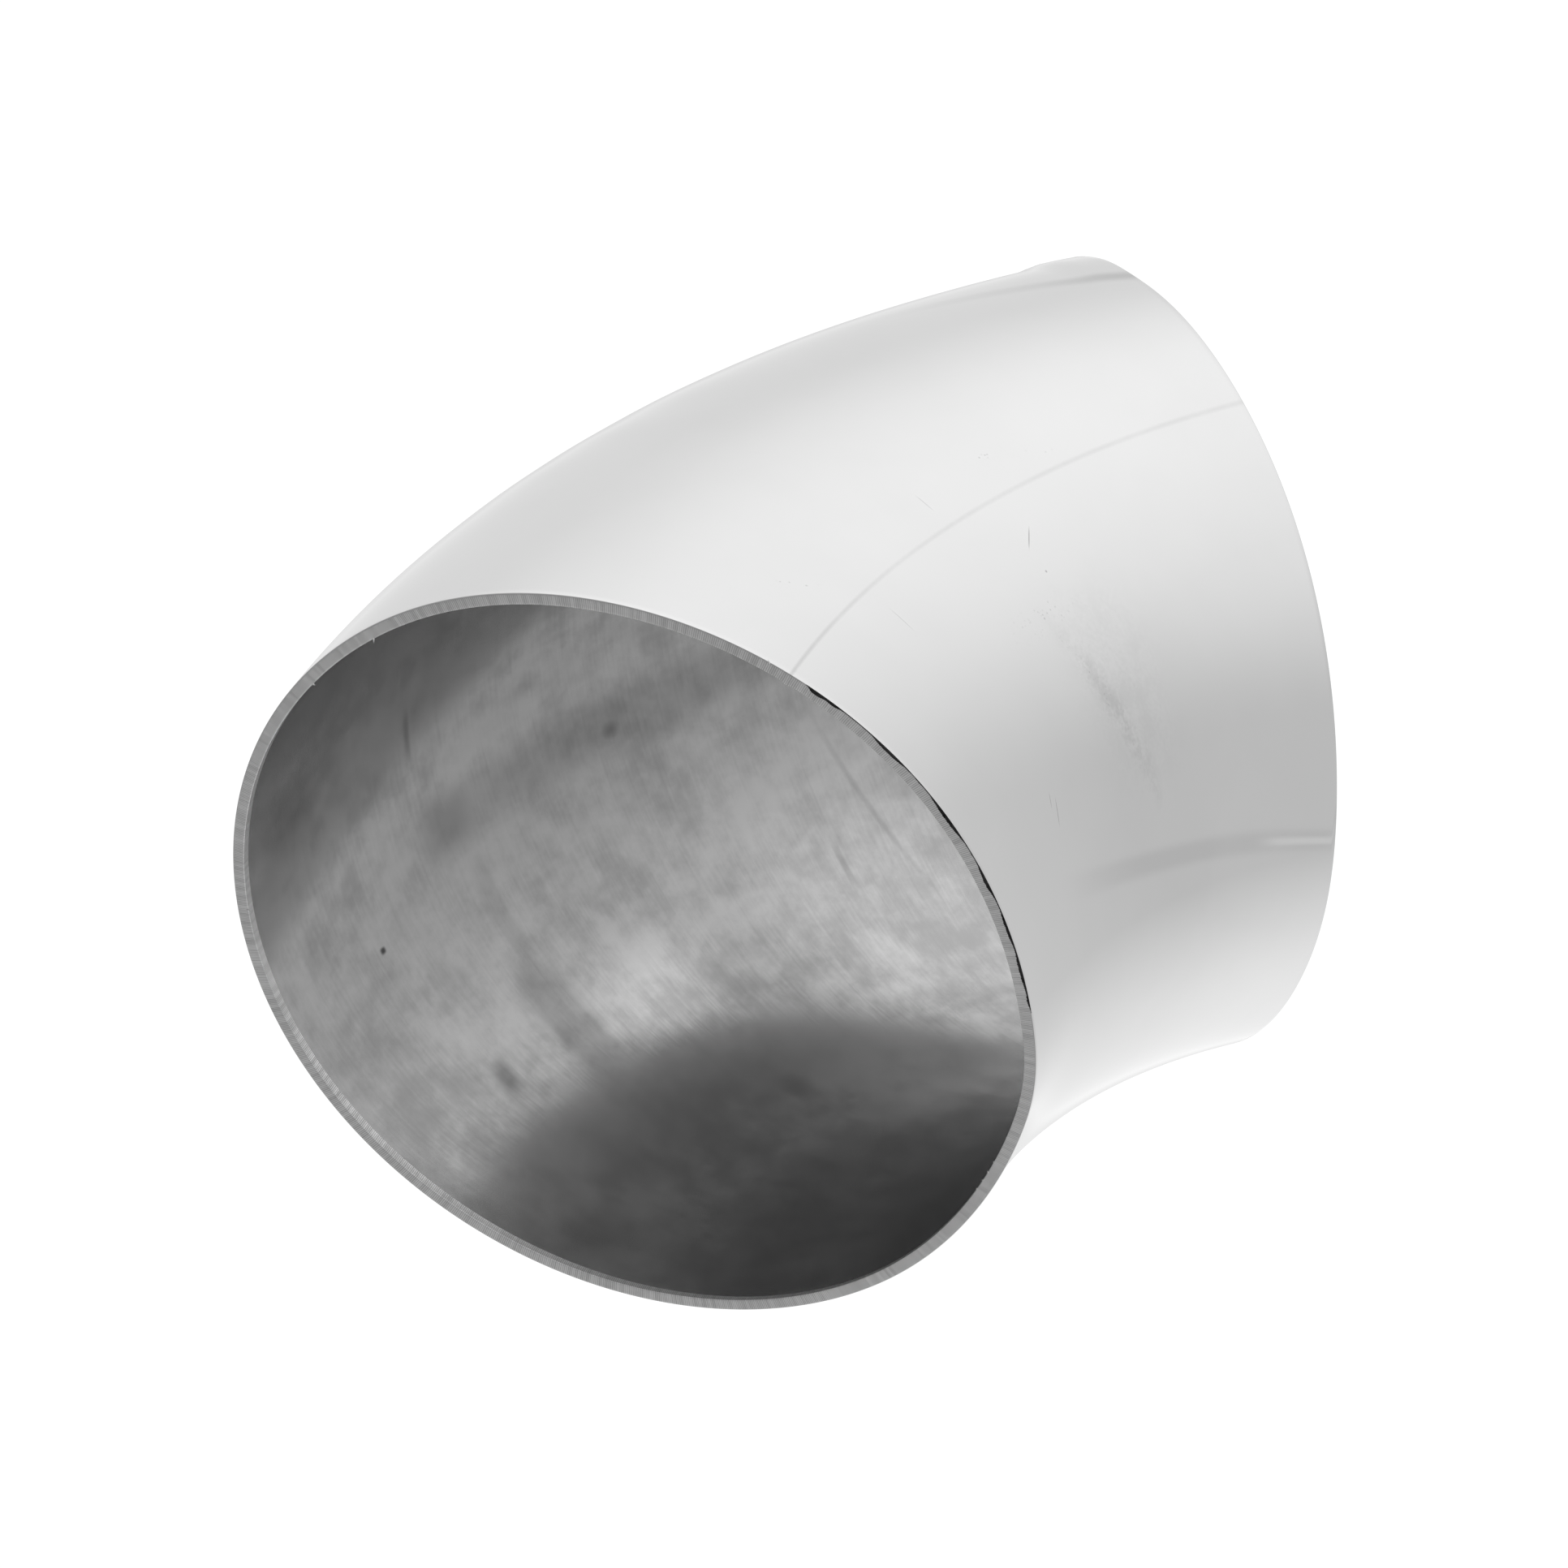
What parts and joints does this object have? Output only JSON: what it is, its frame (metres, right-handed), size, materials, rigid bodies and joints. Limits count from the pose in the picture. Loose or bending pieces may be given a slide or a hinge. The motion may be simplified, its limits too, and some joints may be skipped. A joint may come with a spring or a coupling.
{
  "type": "flue elbow",
  "caption": "Plain-ended 45-degree elbow formed from thin stainless tube with a lengthwise seam, bright outside and dull inside, for a butt-welded flue or exhaust run.",
  "frame": {"origin": "centre of the inlet rim, in the plane of its cut face, which is also the face the elbow stands on", "axes": "+Z is the flow direction into the inlet; the bend lies in the XZ plane and leans the outlet towards +X; +Y is the side that carries the lengthwise seam"},
  "size_m": [0.1227, 0.1016, 0.1229],
  "materials": {
    "polished_tube": "mirror-polished outside, dull mill finish inside, bare saw cut on the two rims",
    "weld_metal": "ground flush and polished outside, as-welded root bead inside"
  },
  "bodies": {
    "root": {"formed_tube": "polished_tube", "seam_weld": "weld_metal"}
  },
  "joints": []
}
